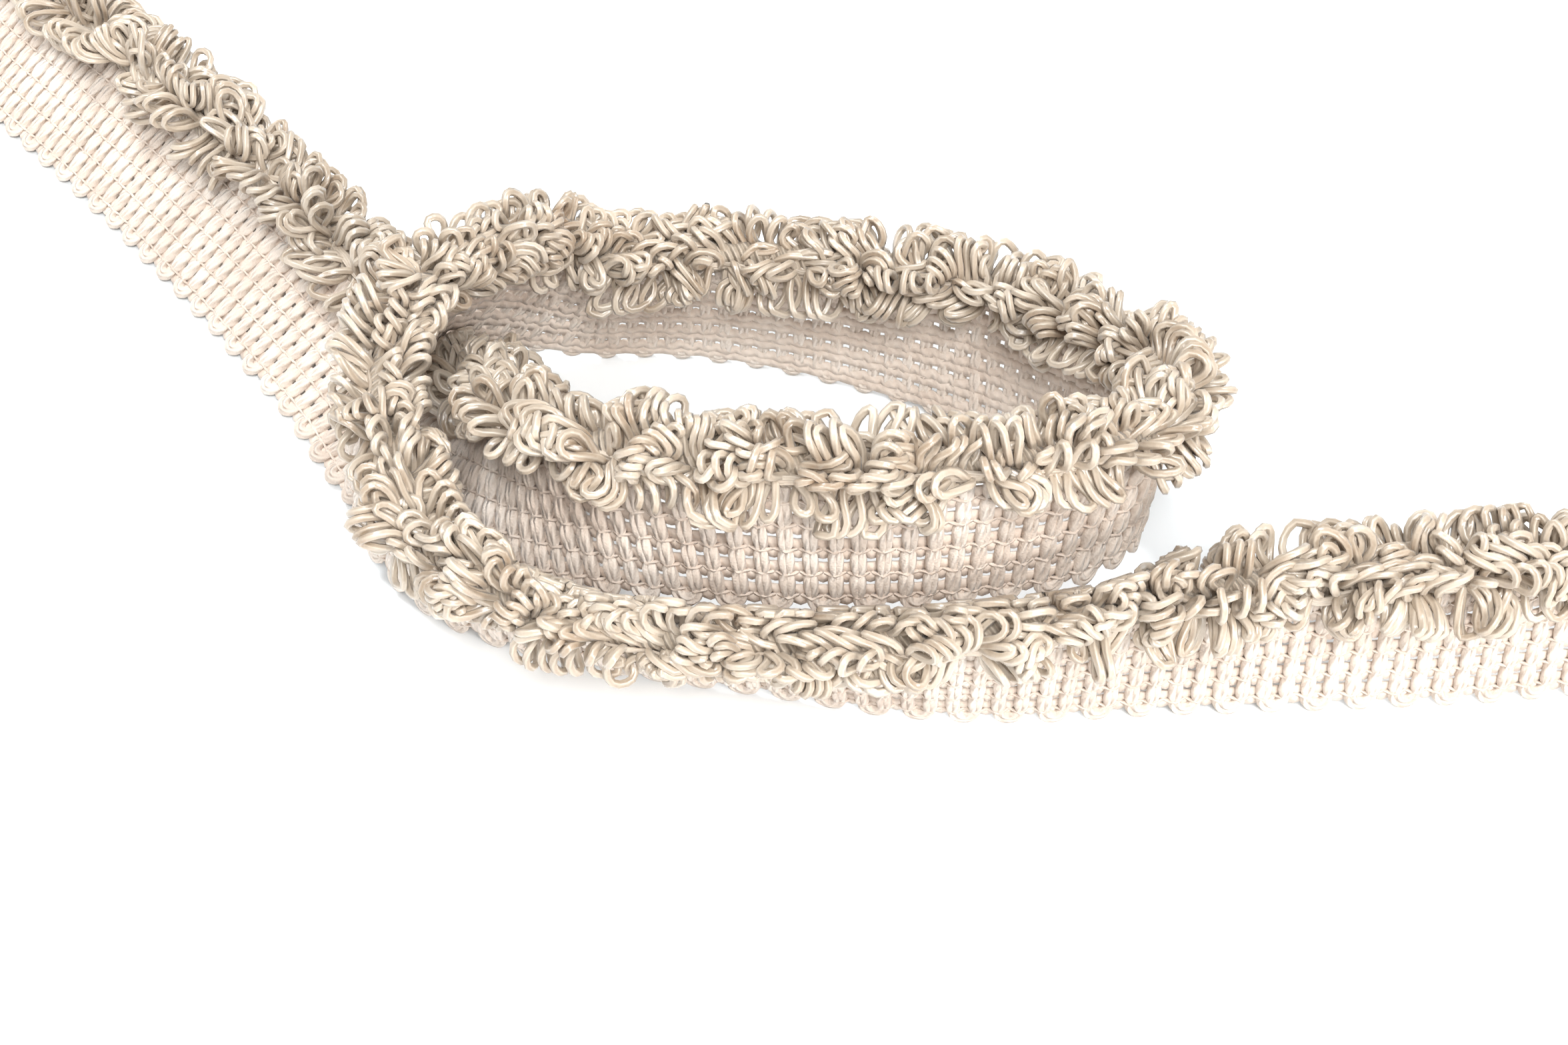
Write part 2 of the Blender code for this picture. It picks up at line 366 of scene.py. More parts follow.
bindingMaterial = yarnMaterial("binding_thread", {
    "plies": 5.0,
    "twist": 0.10,
    "fibreScale": 3000.0,
    "patchScale": 120.0,
    "plyShade": 0.12,
    "fibreShade": 0.25,
    "colours": (
        (0.30, (0.42, 0.33, 0.25)),
        (0.60, (0.54, 0.45, 0.36)),
        (0.90, (0.64, 0.55, 0.46)),
    ),
    "fibreBump": 0.6,
    "bump": 0.5,
    "bumpDepth": 0.08 * mm,
    "roughness": 0.5,
    "specular": 0.4,
    "sheen": 0.1,
})

# The bound roots take the cord's colours darkened: painted shade between the loops
rootsShadeMaterial = yarnMaterial("cord_roots_painted_shade", {
    "plies": 6.0,
    "twist": 0.9,
    "fibreScale": 900.0,
    "patchScale": 300.0,
    "plyShade": 0.15,
    "fibreShade": 0.3,
    "colours": (
        (0.30, (0.28, 0.21, 0.155)),
        (0.60, (0.42, 0.34, 0.26)),
        (0.90, (0.55, 0.46, 0.37)),
    ),
    "fibreBump": 1.5,
    "bump": 0.8,
    "bumpDepth": 0.3 * mm,
    "roughness": 0.6,
    "specular": 0.3,
    "sheen": 0.1,
})
print("materials made")

# Woven tape, in mm: doubled yarns that run down one column, round a picot and up the next.
# In apart, wide and deep, the first value holds where a warp thread pinches the column,
# and the second is what the middle of a block adds to it.
tape = {
    "picots": 108,
    "firstRow": 2.9,  # height of the lowest warp thread
    "rowPitch": 4.05,
    "blocks": 5,
    "ringsPerBlock": 6,
    "fullness": 0.42,  # lower makes the blocks squarer
    "top": (25.2, 24.2),  # two rings more, hidden in the head
    "topBulge": (0.5, 0.8),
    "sides": 6,
    "apart": (0.24, 0.17),
    "slant": 0.16,  # sideways from the lower to the upper end of a block
    "wide": (0.42, 0.25),
    "deep": (0.48, 0.38),
    "swell": (0.92, 1.08),  # how thick one yarn is beside another
    "ringSwell": (0.93, 1.07),  # and one ring beside another
    "scatter": 0.05,
    "strandOut": 0.06,
}
# A picot is the bend of both yarns. Its thickness grows from the ends to the middle.
picotBend = {
    "rings": 9,
    "outerDepth": 2.28,
    "innerDepth": 1.38,
    "apart": 0.36,
    "wide": (0.46, 0.14),
    "deep": (0.50, 0.30),
    "drop": (-0.12, 0.12),
}


def blend(pair, share):
    return pair[0] + pair[1] * share


def blockProfile(fraction):
    # 0 where a warp thread pinches the column, 1 in the middle of a block.
    return np.maximum(np.sin(math.pi * fraction), 0.0) ** tape["fullness"]


def buildYarns():
    pitch = route.length / (2 * tape["picots"])
    blockRings = tape["blocks"] * tape["ringsPerBlock"]
    height = tape["firstRow"] + tape["rowPitch"] * np.arange(blockRings, -1, -1) / tape["ringsPerBlock"]
    fraction = (np.arange(blockRings, -1, -1) % tape["ringsPerBlock"]) / tape["ringsPerBlock"]
    bulge = blockProfile(fraction)
    height = np.concatenate([tape["top"], height])
    bulge = np.concatenate([tape["topBulge"], bulge])
    slant = np.concatenate([[0.0, 0.0], fraction - 0.5]) * (bulge > 0.01)
    half = len(height)
    apart = blend(tape["apart"], bulge)
    bend = np.linspace(0.0, math.pi, picotBend["rings"] + 2)[1:-1]
    paths, wides, deeps, ways = [], [], [], []
    for picot in range(tape["picots"]):
        middle = (2 * picot + 1) * pitch
        swell = rng.uniform(*tape["swell"], (2, 1)) * rng.uniform(*tape["ringSwell"], (2, half))
        drift = rng.normal(0.0, tape["scatter"], (2, 1))
        bow = rng.normal(0.0, tape["scatter"], (2, 1))
        drop = rng.uniform(*picotBend["drop"])
        for strand in (-1.0, 1.0):
            left = -pitch / mm / 2 + strand * apart + tape["slant"] * slant + drift[0]
            right = pitch / mm / 2 - strand * apart + tape["slant"] * slant + drift[1]
            radius = pitch / mm / 2 - strand * picotBend["apart"]
            depth = picotBend["outerDepth" if strand < 0 else "innerDepth"] + drop
            bendSide = -radius * np.cos(bend)
            bendHeight = tape["firstRow"] - depth * np.sin(bend)
            side = np.concatenate([left, bendSide, right[::-1]])
            up = np.concatenate([height, bendHeight, height[::-1]])
            wide = np.concatenate([
                blend(tape["wide"], bulge) * swell[0],
                blend(picotBend["wide"], np.sin(bend)),
                (blend(tape["wide"], bulge) * swell[1])[::-1],
            ])
            deep = np.concatenate([
                blend(tape["deep"], bulge) * swell[0],
                blend(picotBend["deep"], np.sin(bend)),
                (blend(tape["deep"], bulge) * swell[1])[::-1],
            ])
            out = np.concatenate([
                bow[0] * bulge + tape["strandOut"] * strand,
                np.zeros(len(bend)),
                (bow[1] * bulge + tape["strandOut"] * strand)[::-1],
            ])
            s = middle + side * mm
            paths.append(route.point(s, out * mm, up * mm))
            wides.append(wide * mm)
            deeps.append(deep * mm)
            ways.append(route.read(route.face, s))
    verts, quads, uvs, caps = tubes(paths, wides, deeps, ways, tape["sides"])
    verts[:, 2] = np.maximum(verts[:, 2], 0.0)
    return makeMesh("tape_yarns", verts, quads, uvs, caps, tapeMaterial)


# Threads that twine round the columns at every row, in mm. In out, the first value holds
# between two columns, and the second is what the middle of a column adds to it.
twining = {
    "ringsPerColumn": 4,
    "threads": (
        {"out": (-0.34, 0.86), "shift": 0.0, "wide": 0.20},  # in front
        {"out": (-0.30, -0.38), "shift": -0.82, "wide": 0.88},  # two behind
        {"out": (-0.30, -0.38), "shift": 0.82, "wide": 0.88},
    ),
    "deep": 0.26,
    "squareCorner": 1.41,  # a square tube's corner over half its side
    "drawnIn": 0.25,
    "narrowed": 0.15,
    "upScatter": 0.05,
    "outScatter": 0.02,
}


def buildWarp():
    pitch = route.length / (2 * tape["picots"])
    perColumn = twining["ringsPerColumn"]
    count = 2 * tape["picots"] * perColumn
    s = (np.arange(count + 1) - perColumn / 2) * pitch / perColumn + pitch
    over = 0.5 + 0.5 * np.cos(2 * math.pi * (s - pitch / 2) / pitch)
    paths, wides, deeps, ways = [], [], [], []
    for row in range(tape["blocks"] + 1):
        up = tape["firstRow"] + row * tape["rowPitch"]
        for thread in twining["threads"]:
            wander = rng.normal(0.0, twining["upScatter"], len(s))
            out = blend(thread["out"], over) + rng.normal(0.0, twining["outScatter"], len(s))
            lift = up + thread["shift"] * (1.0 - twining["drawnIn"] * over) + wander
            paths.append(route.point(s, out * mm, lift * mm))
            wides.append(twining["squareCorner"] * thread["wide"] * (1.0 - twining["narrowed"] * over) * mm)
            deeps.append(np.full(len(s), twining["deep"] * mm))
            ways.append(route.read(route.face, s))
    verts, quads, uvs, caps = tubes(paths, wides, deeps, ways, 4, math.pi / 4)
    verts[:, 2] = np.maximum(verts[:, 2], 0.0)
    return makeMesh("warp_threads", verts, quads, uvs, caps, warpMaterial)


yarns = buildYarns()
warp = buildWarp()
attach(yarns, "root")
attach(warp, "root")
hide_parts("woven_tape")
print("woven tape made")

# Loops, in mm and degrees: bunches of petals round the head, each bound at its binding line.
# A fan goes up or down from there, and its shares say how many bunches are of each kind.
loops = {
    "radius": 0.585,
    "radiusScatter": (0.93, 1.06),
    "flattened": 0.94,
    "rings": 17,
    "sides": 6,
    "reach": 8.3,
    "spread": 0.28,
    "rounds": 10,
    "spacing": 1.22,
    "gap": (0.1, 1.2),
    "lean": (4.0, 62.0),
    "turnBack": 0.55,  # share of bunches that lean the other way than the one before
    "curl": (-0.6, 1.8),  # out of the petal's plane at its tip
    "bend": (-2.8, 2.8),  # sideways at its tip
    "twist": (-70.0, 70.0),
    "fanOut": 2.5,  # between two loops of one bunch
    "leastShare": 0.45,  # of a loop's width that still counts when it is swung round
    "neck": (-0.35, 0.65),  # below 0 the cord crosses itself near its roots
    "eyelet": {"share": 0.25, "length": 0.75, "width": 1.3, "neck": -0.4},
    "fans": (
        {"turn": 1.0, "length": (5.4, 7.2), "tilt": (-26.0, 10.0), "depth": (0.8, 1.5),
         "lift": (0.4, 1.4), "shares": (0.18, 0.40, 0.42)},
        {"turn": 1.0, "length": (5.0, 7.0), "tilt": (18.0, 56.0), "depth": (1.4, 2.2),
         "lift": (-0.5, 0.9), "shares": (0.12, 0.38, 0.50)},
        {"turn": -1.0, "length": (4.8, 7.0), "tilt": (12.0, 62.0), "depth": (1.4, 2.2),
         "lift": (-0.5, 0.9), "shares": (0.10, 0.34, 0.56)},
    ),
    "kinds": (
        {"count": (2, 4), "swing": (0.0, 30.0), "width": (1.0, 1.5)},
        {"count": (2, 5), "swing": (36.0, 64.0), "width": (1.4, 2.1)},
        {"count": (2, 4), "swing": (64.0, 104.0), "width": (1.4, 2.2)},
    ),
}
# Loops of the last kind lie one inside the other
nest = {"kind": 2, "place": 0.3, "tilt": 5.0, "smaller": 0.18, "stack": 1.05, "room": 2.4}
# How much the loops of one bunch differ, to either side, or between which shares
scatter = {
    "depth": 0.2,
    "lift": 0.3,
    "tilt": 8.0,
    "lean": 8.0,
    "swing": 14.0,
    "curl": 0.2,
    "bend": 0.3,
    "twist": 8.0,
    "length": (0.86, 1.08),
    "width": (0.9, 1.1),
}


def astray(name):
    return rng.uniform(-scatter[name], scatter[name])


def planBunches():
    # One row per loop, in the order that loopPaths reads
    rows = []
    eyelet = loops["eyelet"]
    total = route.travel[-1] / mm
    for side in (-1.0, 1.0):
        for fan in loops["fans"]:
            place = rng.uniform(0.0, 2.0)
            leaning = 1.0
            while place < total:
                pick = rng.choice(3, p=fan["shares"])
                kind = loops["kinds"][pick]
                count = int(rng.integers(kind["count"][0], kind["count"][1] + 1))
                leaning = -leaning if rng.random() < loops["turnBack"] else leaning
                lean = leaning * rng.uniform(*loops["lean"])
                tilt = rng.uniform(*fan["tilt"])
                length = rng.uniform(*fan["length"])
                width = rng.uniform(*kind["width"])
                depth = rng.uniform(*fan["depth"])
                lift = rng.uniform(*fan["lift"])
                swing = rng.uniform(*kind["swing"]) * rng.choice((-1.0, 1.0))
                curl = rng.uniform(*loops["curl"])
                bend = rng.uniform(*loops["bend"])
                twist = rng.uniform(*loops["twist"])
                neck = rng.uniform(*loops["neck"])
                nested = pick == nest["kind"]
                step = loops["spacing"] / max(math.cos(math.radians(swing)), loops["leastShare"])
                if nested and rng.random() < eyelet["share"]:  # a lone one that stands proud
                    count = 1
                    length = length * eyelet["length"]
                    width = eyelet["width"]
                    neck = eyelet["neck"]
                for index in range(count):
                    spread = index - (count - 1) / 2
                    share = 1.0 - nest["smaller"] * index if nested else rng.uniform(*scatter["length"])
                    rows.append((
                        place + (nest["place"] * spread if nested else step * (index + 0.5)),
                        side,
                        fan["turn"],
                        depth + astray("depth"),
                        lift + astray("lift"),
                        tilt + (nest["tilt"] * index if nested else astray("tilt")),
                        lean + loops["fanOut"] * spread + astray("lean"),
                        swing + astray("swing"),
                        length * share,
                        width * (share if nested else rng.uniform(*scatter["width"])),
                        nest["stack"] * index if nested else 0.0,
                        curl + astray("curl"),
                        bend + astray("bend"),
                        twist + astray("twist"),
                        neck,
                    ))
                place += (nest["room"] if nested else count * step) + rng.uniform(*loops["gap"])
    return np.array(rows)


def petalReach():
    # The angle round the petal, and how far out each of its rings lies, from 0 to 1.
    t = np.linspace(0.05, 1.95, loops["rings"]) * math.pi
    return t, (1 - np.cos(t)) / 2


def pointsOn(s, up=0.0):
    # Points in the tape's middle plane, all at one height of the tape.
    return route.point(s, np.zeros(len(s)), np.full(len(s), up))


def spreadOf(s):
    # Where the tape lies down, its loops fall open and spread wider.
    lying = np.abs(route.read(route.face, s)[:, 2])
    return 1.0 + loops["spread"] * np.clip((lying - 0.6) / 0.25, 0.0, 1.0)


# The outline of one petal, as shares of its width, and its waviness and crossing in mm
petal = {
    "shoulder": 1.15,
    "fullness": 1.2,
    "crossNeck": 0.2,  # narrower necks than this begin to cross
    "crossApart": 0.9,
    "wave": 0.2,
}


def loopPaths(rows):
    # Middle lines of all loops: an even petal from its root, curled, bent and nested.
    at, side, turn, depth, lift, tilt, lean, swing, length, width, stack, curl, bend, twist, neck = rows.T
    s = np.interp(at * mm, route.travel, route.s)
    origin = pointsOn(s, spineUp)
    along = route.read(route.along, s)
    out = route.read(route.face, s) * side[:, None]
    length = length * spreadOf(s)
    width = width * spreadOf(s)
    rise = route.read(route.rise, s) * turn[:, None]
    tilt, lean, swing = np.radians(tilt), np.radians(lean), np.radians(swing)
    way = (
        (np.cos(tilt) * np.cos(lean))[:, None] * rise
        + np.sin(tilt)[:, None] * out
        + (np.cos(tilt) * np.sin(lean))[:, None] * along
    )
    first = unit(out - dot(out, way) * way)
    second = np.cross(way, first)
    t, reach = petalReach()
    swing = (swing[:, None] + np.radians(twist)[:, None] * (reach - 0.5))[..., None]
    across = np.cos(swing) * first[:, None] + np.sin(swing) * second[:, None]
    normal = np.cross(np.broadcast_to(way[:, None], across.shape), across)
    neck = neck[:, None]
    widen = np.sin(t) * (neck + (petal["shoulder"] - neck) * reach)
    crossing = np.clip(petal["crossNeck"] - neck, 0.0, 0.55) / 0.55
    apart = petal["crossApart"] * np.sin(t) * crossing * (1.0 - reach)
    wave = rng.normal(0.0, petal["wave"], (len(s), 1)) * np.sin(t + rng.uniform(0, 6.28, (len(s), 1)))
    path = (
        (origin + out * (depth * mm)[:, None] + rise * (lift * mm)[:, None])[:, None]
        + way[:, None] * (length[:, None] * reach * mm)[..., None]
        + across * (width[:, None] * widen * petal["fullness"] * mm)[..., None]
        + normal * ((wave + apart) * mm)[..., None]
        + second[:, None] * ((bend[:, None] * reach**2) * mm)[..., None]
        + out[:, None] * ((stack[:, None] * reach + curl[:, None] * reach**2) * mm)[..., None]
    )
    return s, origin, out, normal, path


def smoothMove(move):
    # A move of the loops' points, evened along each loop and held at its roots.
    move[:, 1:-1] = 0.5 * move[:, 1:-1] + 0.25 * (move[:, :-2] + move[:, 2:])
    return move


# How cords are pushed apart, in mm
parting = {
    "touch": 1.14,  # between the middles of two cords
    "ahead": 9.0,
    "step": 0.5,
    "block": 48,  # loops that are compared at a time
}


def partLoops(s, paths):
    # Cords that run into each other are pushed apart. The loops come sorted by their place.
    rings = paths.shape[1]
    reach = petalReach()[1]
    hold = np.clip((reach - 0.06) / 0.3, 0.0, 1.0)[None, :, None]  # roots stay where they are
    touch = parting["touch"] * mm
    move = np.zeros_like(paths)
    for start in range(0, len(s), parting["block"]):
        stop = min(start + parting["block"], len(s))
        limit = np.searchsorted(s, s[stop - 1] + parting["ahead"] * mm)
        first = paths[start:stop].reshape(-1, 3)
        second = paths[start:limit].reshape(-1, 3)
        middle = first.mean(axis=0)
        a = ((first - middle) / mm).astype(np.float32)
        b = ((second - middle) / mm).astype(np.float32)
        gap = (a**2).sum(1)[:, None] + (b**2).sum(1)[None] - 2 * a @ b.T
        one, two = np.nonzero(gap < parting["touch"] ** 2)
        later = two // rings > one // rings
        one, two = one[later], two[later]
        line = second[two] - first[one]
        size = np.maximum(np.linalg.norm(line, axis=1, keepdims=True), 0.05 * mm)
        push = 0.5 * (touch - size) * line / size
        part = np.zeros_like(second)
        for axis in range(3):
            part[:, axis] += np.bincount(two, push[:, axis], len(second))
            part[: len(first), axis] -= np.bincount(one, push[:, axis], len(first))
        move[start:limit] += part.reshape(-1, rings, 3)
    size = np.linalg.norm(move, axis=2, keepdims=True)
    move *= np.minimum(1.0, parting["step"] * mm / np.maximum(size, 1e-9))
    return paths + smoothMove(smoothMove(move * hold))


# Distances in mm for loops that meet another stretch of the trim
clear = {
    "tapeGrid": 1.5,
    "spineGrid": 1.0,
    "ownStretch": 40.0,
    "tapeNear": 30.0,
    "headNear": 40.0,
    "headsMeet": 24.0,
    "beside": 1.9,
    "tapeGap": 0.15,
    "headGap": 0.1,
    "block": 60,
}


def keepClear(s, origin, paths):
    # Pushes loops out of other stretches of tape and half way off other heads.
    radius = loops["radius"] * mm
    tapeS = np.arange(0.0, route.length, clear["tapeGrid"] * mm)
    ups = np.arange(0.0, 25.0, clear["tapeGrid"]) * mm
    gridS, gridUp = np.meshgrid(tapeS, ups, indexing="ij")
    tapePoints = route.point(gridS.ravel(), np.zeros(gridS.size), gridUp.ravel())
    tapeFace = route.read(route.face, gridS.ravel())
    tapePlace = gridS.ravel()
    spineS = np.arange(0.0, route.length, clear["spineGrid"] * mm)
    spinePoints = pointsOn(spineS, spineUp)
    rings = paths.shape[1]
    moved = paths.copy()
    for start in range(0, len(s), clear["block"]):
        part = slice(start, start + clear["block"])
        spots = paths[part].reshape(-1, 3)
        own = np.repeat(s[part], rings)
        roots = np.repeat(origin[part], rings, axis=0)
        low = own.min() - clear["ownStretch"] * mm
        high = own.max() + clear["ownStretch"] * mm
        middle = spots.mean(axis=0)
        far = (tapePlace < low) | (tapePlace > high)
        far &= np.linalg.norm(tapePoints - middle, axis=1) < clear["tapeNear"] * mm
        if far.any():
            points, faces = tapePoints[far], tapeFace[far]
            gap = np.linalg.norm(spots[:, None] - points[None], axis=2)
            nearest = gap.argmin(axis=1)
            side = np.sign(dot(roots - points[nearest], faces[nearest]))
            normal = faces[nearest] * side
            offset = spots - points[nearest]
            rise = dot(offset, normal)
            beside = np.linalg.norm(offset - rise * normal, axis=1, keepdims=True)
            short = np.maximum(tapeHalf + radius + clear["tapeGap"] * mm - rise, 0.0)
            spots = spots + np.where(beside < clear["beside"] * mm, short, 0.0) * normal
        farSpine = (spineS < low) | (spineS > high)
        farSpine &= np.linalg.norm(spinePoints - middle, axis=1) < clear["headNear"] * mm
        if farSpine.any():
            points = spinePoints[farSpine]
            gap = np.linalg.norm(spots[:, None] - points[None], axis=2)
            other = points[gap.argmin(axis=1)]
            line = other - roots
            distance = np.linalg.norm(line, axis=1, keepdims=True)
            line = line / distance
            excess = dot(spots - roots, line) - (distance / 2 - radius - clear["headGap"] * mm)
            spots = spots - np.maximum(excess, 0.0) * line * (distance < clear["headsMeet"] * mm)
        moved[part] = spots.reshape(-1, rings, 3)
    return paths + smoothMove(moved - paths)


# Where the upper turn's picots rest on the lower head: places along the route, in mm
laidOn = {
    "edge": (362.0, 449.0),
    "head": (60.0, 168.0),
    "slope": 1.05,  # of the line of sight past the picots
    "slack": (-0.1, 1.3),  # how far a loop may stand above that line
    "near": 15.0,
    "fade": 3.0,
}


def keepUnderEdge(s, slack, paths):
    # The lower head's loops stay below and in front of the upper turn's picots, which rest on them.
    edgeS = np.arange(laidOn["edge"][0], laidOn["edge"][1], 1.0) * mm
    edge = pointsOn(edgeS)
    face = route.read(route.face, edgeS)
    chosen = (s > laidOn["head"][0] * mm) & (s < laidOn["head"][1] * mm)
    spots = paths[chosen]
    gap = np.linalg.norm(spots[:, :, None, :2] - edge[None, None, :, :2], axis=3)
    nearest = gap.argmin(axis=2)
    offset = spots - edge[nearest]
    flat = face[nearest]
    flat[..., 2] = 0.0
    flat = unit(flat)
    front = dot(offset, flat)[..., 0]
    excess = offset[..., 2] + loops["radius"] * mm - laidOn["slope"] * np.maximum(front, 0.0)
    excess -= slack[chosen][:, None] * mm
    near = np.clip((laidOn["near"] * mm - gap.min(axis=2)) / (laidOn["fade"] * mm), 0.0, 1.0)
    push = 0.5 * np.maximum(excess, 0.0) * near
    spots = spots + push[..., None] * flat
    spots[..., 2] -= push
    paths = paths.copy()
    paths[chosen] = spots
    return paths


def flattenLeaning(s, out, side, paths):
    # Where the tape leans over by more than 6 degrees, the loops of its lower face hang flatter.
    flattened = 0.36
    lean = np.degrees(np.arcsin(np.clip(-route.read(route.face, s)[:, 2], -1.0, 1.0)))
    share = np.clip((lean * side - 6.0) / 12.0, 0.0, 1.0)[:, None, None]
    level = dot(paths - pointsOn(s)[:, None], out[:, None])
    return paths - flattened * share * np.maximum(level - 1.5 * mm, 0.0) * out[:, None]


def keepReach(s, origin, paths):
    # A cord never stretches: its loop ends within its reach of the spine.
    offset = paths - origin[:, None]
    size = np.maximum(np.linalg.norm(offset, axis=2, keepdims=True), 1e-6)
    reach = loops["reach"] * mm * spreadOf(s)[:, None, None]
    return origin[:, None] + offset * np.minimum(1.0, reach / size)


def keepOffTape(s, out, paths):
    # Loops that hang below the tape's top stay in front of it, and all stay off the table.
    tapeTop = 23.5 * mm
    offset = paths - pointsOn(s)[:, None]
    level = dot(offset, out[:, None])
    height = dot(offset, route.read(route.rise, s)[:, None])
    least = tapeHalf + (loops["radius"] + 0.1) * mm
    below = np.clip((tapeTop - height) / (1.5 * mm), 0.0, 1.0)
    paths = paths + np.maximum(least - level, 0.0) * below * out[:, None]
    paths[..., 2] = np.maximum(paths[..., 2], (loops["radius"] + 0.05) * mm)
    return paths


def buildLoops():
    rows = planBunches()
    s, origin, out, normal, paths = loopPaths(rows)
    order = np.argsort(s)
    s, origin, out, normal, paths = (item[order] for item in (s, origin, out, normal, paths))
    side = rows[order, 1]
    slack = rng.uniform(*laidOn["slack"], len(s))
    paths = flattenLeaning(s, out, side, paths)
    for number in range(loops["rounds"]):
        paths = partLoops(s, paths)
        if number % 3 == 2:
            paths = keepClear(s, origin, paths)
        paths = keepUnderEdge(s, slack, paths)
        paths = keepReach(s, origin, paths)
        paths = keepOffTape(s, out, paths)
    wide = loops["radius"] * mm * rng.uniform(*loops["radiusScatter"], (len(s), 1))
    deep = wide * loops["flattened"]
    mostTriangles = 190000  # in one piece
    perPiece = int(mostTriangles / (2 * loops["sides"] * loops["rings"]))
    parts = int(math.ceil(len(s) / perPiece))
    pieces = []
    for number, chosen in enumerate(np.array_split(np.arange(len(s)), parts)):
        shape = tubes(paths[chosen], wide[chosen], deep[chosen], normal[chosen], loops["sides"])
        pieces.append(makeMesh("cord_loops_%d" % (number + 1), *shape, cordMaterial))
    print("loops", len(s), "in", parts, "pieces")
    return pieces


loopPieces = buildLoops()
for piece in loopPieces:
    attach(piece, "root")
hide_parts("loop_head")

# The bound roots of the loops, coloured as the cords in painted shade, and flat binding threads over them
# on both faces, in mm
roots = {
    "ringEvery": 1.2,
    "wide": 2.6,
    "deep": 2.0,
    "sides": 12,
}
binding = {
    "out": 2.25,
    "swell": 0.6,
    "wide": 0.50,
    "deep": 0.24,
    "apart": 0.42,
    "sides": 6,
}


def buildSpine():
    s = np.linspace(0.0, route.length, int(route.length / (roots["ringEvery"] * mm)))
    count = len(s)
    face = route.read(route.face, s)[None]
    lump = 1.0 + 0.10 * np.sin(s / mm * 1.9) + rng.normal(0.0, 0.05, count)
    wide = roots["wide"] * mm * lump
    deep = roots["deep"] * mm * lump
    shape = tubes(pointsOn(s, spineUp)[None], wide, deep, face, roots["sides"])
    core = makeMesh("cord_roots_painted_shade", *shape, rootsShadeMaterial)
    paths = []
    for side in (-1.0, 1.0):
        phase = rng.uniform(0.0, 6.28, 4)
        swell = np.sin(s / mm * 0.62 + phase[0]) * np.sin(s / mm * 0.23 + phase[1])
        drift = 0.55 * np.sin(s / mm * 0.31 + phase[2]) + 0.25 * np.sin(s / mm * 0.9 + phase[3])
        for strand in (-1.0, 0.0, 1.0):
            lift = strand * binding["apart"] + drift + rng.normal(0.0, 0.05, count)
            lift = lift + 0.12 * np.sin(s / mm * 1.3 + 2.1 * strand)
            out = binding["out"] + binding["swell"] * swell + 0.08 * np.sin(s / mm * 1.7 + strand)
            paths.append(route.point(s, side * out * mm, spineUp + lift * mm))
    ways = np.repeat(face, len(paths), axis=0)
    shape = tubes(paths, binding["wide"] * mm, binding["deep"] * mm, ways, binding["sides"])
    thread = makeMesh("binding_thread", *shape, bindingMaterial)
    return core, thread


core, thread = buildSpine()
for piece in (core, thread):
    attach(piece, "root")
print("head made")


# The plain white table, in metres
table = {
    "half": 3.0,
    "patchScale": 12.0,
    "colours": (
        (0.3, (0.93, 0.95, 0.96)),
        (0.7, (0.95, 0.965, 0.975)),
    ),
    "roughness": 0.6,
    "specular": 0.2,
}


def buildFloor():
    mesh = bpy.data.meshes.new("floor")
    half = table["half"]
    corners = [(-half, -half, 0.0), (half, -half, 0.0), (half, half, 0.0), (-half, half, 0.0)]
    mesh.from_pydata(corners, [], [(0, 1, 2, 3)])
    floor = bpy.data.objects.new("floor", mesh)
    bpy.context.scene.collection.objects.link(floor)
    material, tree, shader, add = nodesOf("white_table")
    place = add("ShaderNodeTexCoord")
    noise = add("ShaderNodeTexNoise", None, {
        "Vector": place.outputs["Object"],
        "Scale": table["patchScale"],
    })
    colour = rampNode(add, noise.outputs["Fac"], table["colours"])
    tree.links.new(colour, shader.inputs["Base Color"])
    shader.inputs["Roughness"].default_value = table["roughness"]
    shader.inputs["Specular IOR Level"].default_value = table["specular"]
    mesh.materials.append(material)


# Soft round lamps that face their aim, in metres and watts
lamps = {
    "key": {"place": (0.70, -0.90, 0.46), "aim": (0.0, -0.05, 0.02),
            "size": 0.28, "power": 8.4, "colour": (1.0, 0.99, 0.975)},
    "front": {"place": (0.12, -0.70, 0.92), "aim": (0.0, -0.03, 0.0),
              "size": 0.50, "power": 12.2, "colour": (0.95, 0.985, 1.0)},
    "back": {"place": (-0.40, 0.30, 1.00), "aim": (-0.04, 0.0, 0.0),
             "size": 0.40, "power": 8.4, "colour": (0.95, 0.985, 1.0)},
}
# The room round the table, from the horizon and below it up to overhead
studio = {
    "low": (0.50, 0.51, 0.52),
    "high": (0.62, 0.63, 0.64),
    "highFrom": 0.8,
    "strength": 0.9,
}


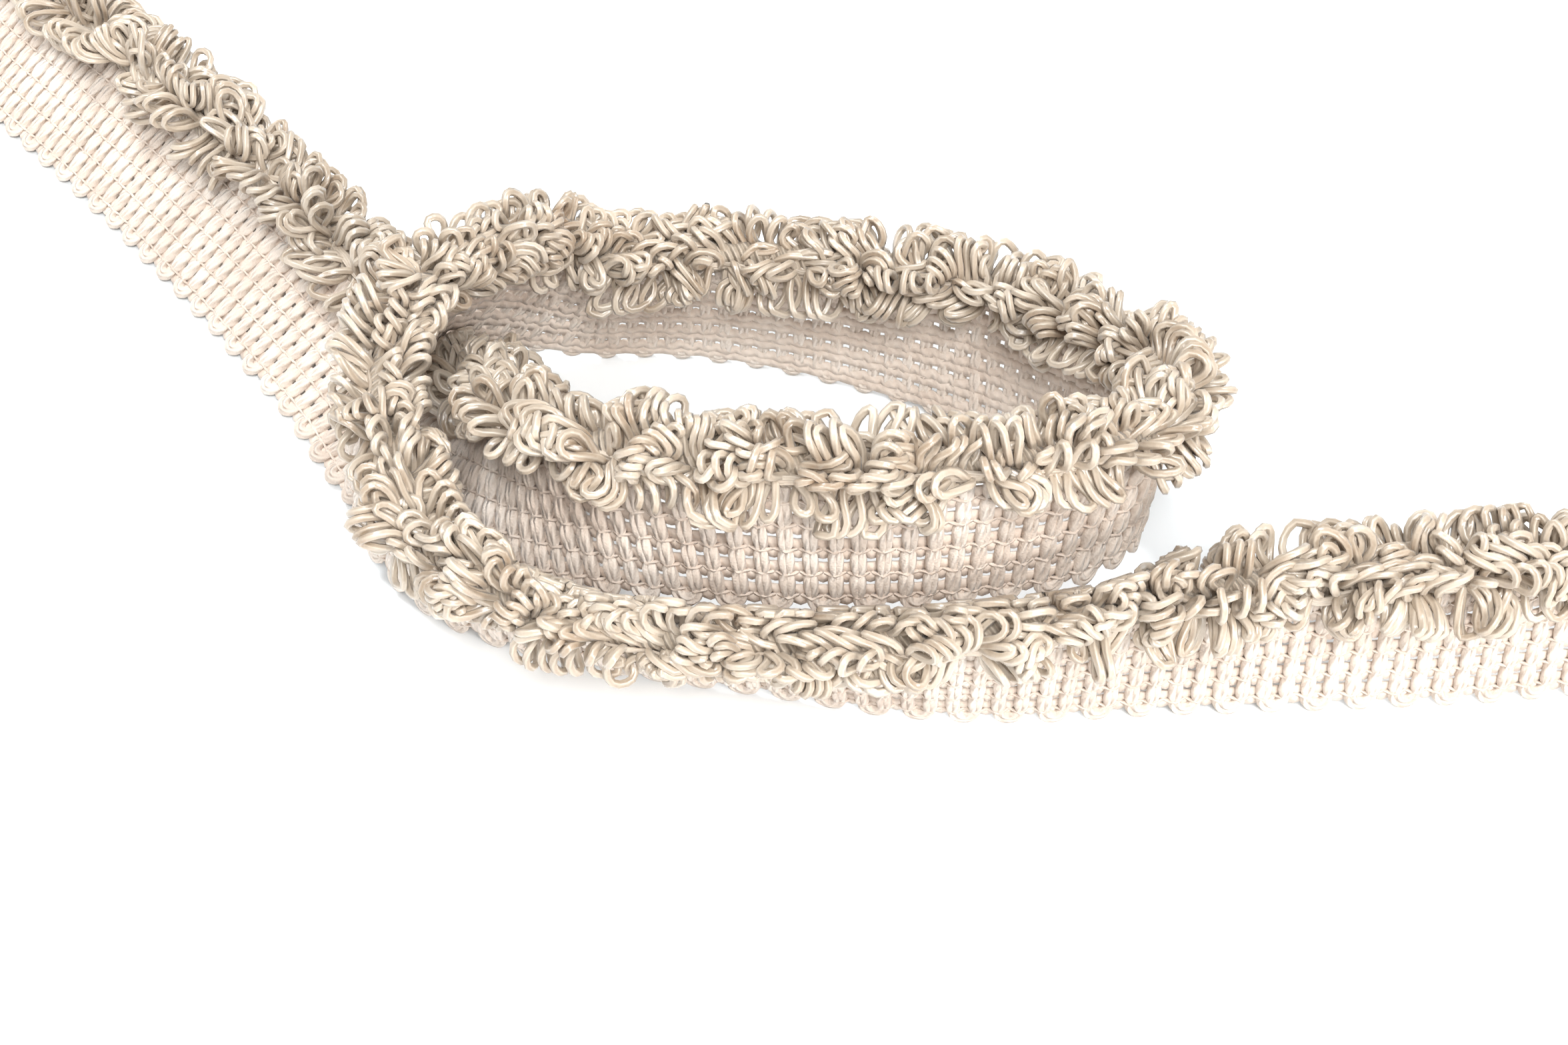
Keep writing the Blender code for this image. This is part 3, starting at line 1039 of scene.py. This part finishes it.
def addLamp(name, lamp):
    data = bpy.data.lights.new(name, "AREA")
    data.shape = "DISK"
    data.size = lamp["size"]
    data.energy = lamp["power"]
    data.color = lamp["colour"]
    light = bpy.data.objects.new(name, data)
    bpy.context.scene.collection.objects.link(light)
    way = np.array(lamp["aim"]) - np.array(lamp["place"])
    light.location = lamp["place"]
    down = math.atan2(math.hypot(way[0], way[1]), -way[2])
    light.rotation_euler = (down, 0.0, math.atan2(way[1], way[0]) - math.pi / 2)


def buildLights():
    world = bpy.data.worlds.new("studio")
    bpy.context.scene.world = world
    world.use_nodes = True
    tree = world.node_tree
    back = tree.nodes["Background"]
    place = tree.nodes.new("ShaderNodeTexCoord")
    parts = tree.nodes.new("ShaderNodeSeparateXYZ")
    ramp = tree.nodes.new("ShaderNodeValToRGB")
    tree.links.new(place.outputs["Generated"], parts.inputs["Vector"])
    tree.links.new(parts.outputs["Z"], ramp.inputs["Fac"])
    tree.links.new(ramp.outputs["Color"], back.inputs["Color"])
    ramp.color_ramp.elements[0].position = 0.0
    ramp.color_ramp.elements[0].color = (*studio["low"], 1.0)
    ramp.color_ramp.elements[1].position = studio["highFrom"]
    ramp.color_ramp.elements[1].color = (*studio["high"], 1.0)
    back.inputs["Strength"].default_value = studio["strength"]
    for name, lamp in lamps.items():
        addLamp(name, lamp)


# The camera of the photograph: half way between level and straight down
camera = {
    "place": (0.0174, -0.2706, 0.2295),
    "tilt": 45.0,
    "lens": 50.0,
    "sensor": 36.0,
    "clip": (0.01, 20.0),
}


def buildCamera():
    data = bpy.data.cameras.new("camera")
    data.lens = camera["lens"]
    data.sensor_width = camera["sensor"]
    data.clip_start, data.clip_end = camera["clip"]
    data.dof.use_dof = False
    eye = bpy.data.objects.new("camera", data)
    eye.location = camera["place"]
    eye.rotation_euler = (math.radians(camera["tilt"]), 0.0, 0.0)
    bpy.context.scene.collection.objects.link(eye)
    bpy.context.scene.camera = eye


buildFloor()
buildLights()
buildCamera()
bpy.context.scene.view_settings.view_transform = "Standard"
print("stage made")
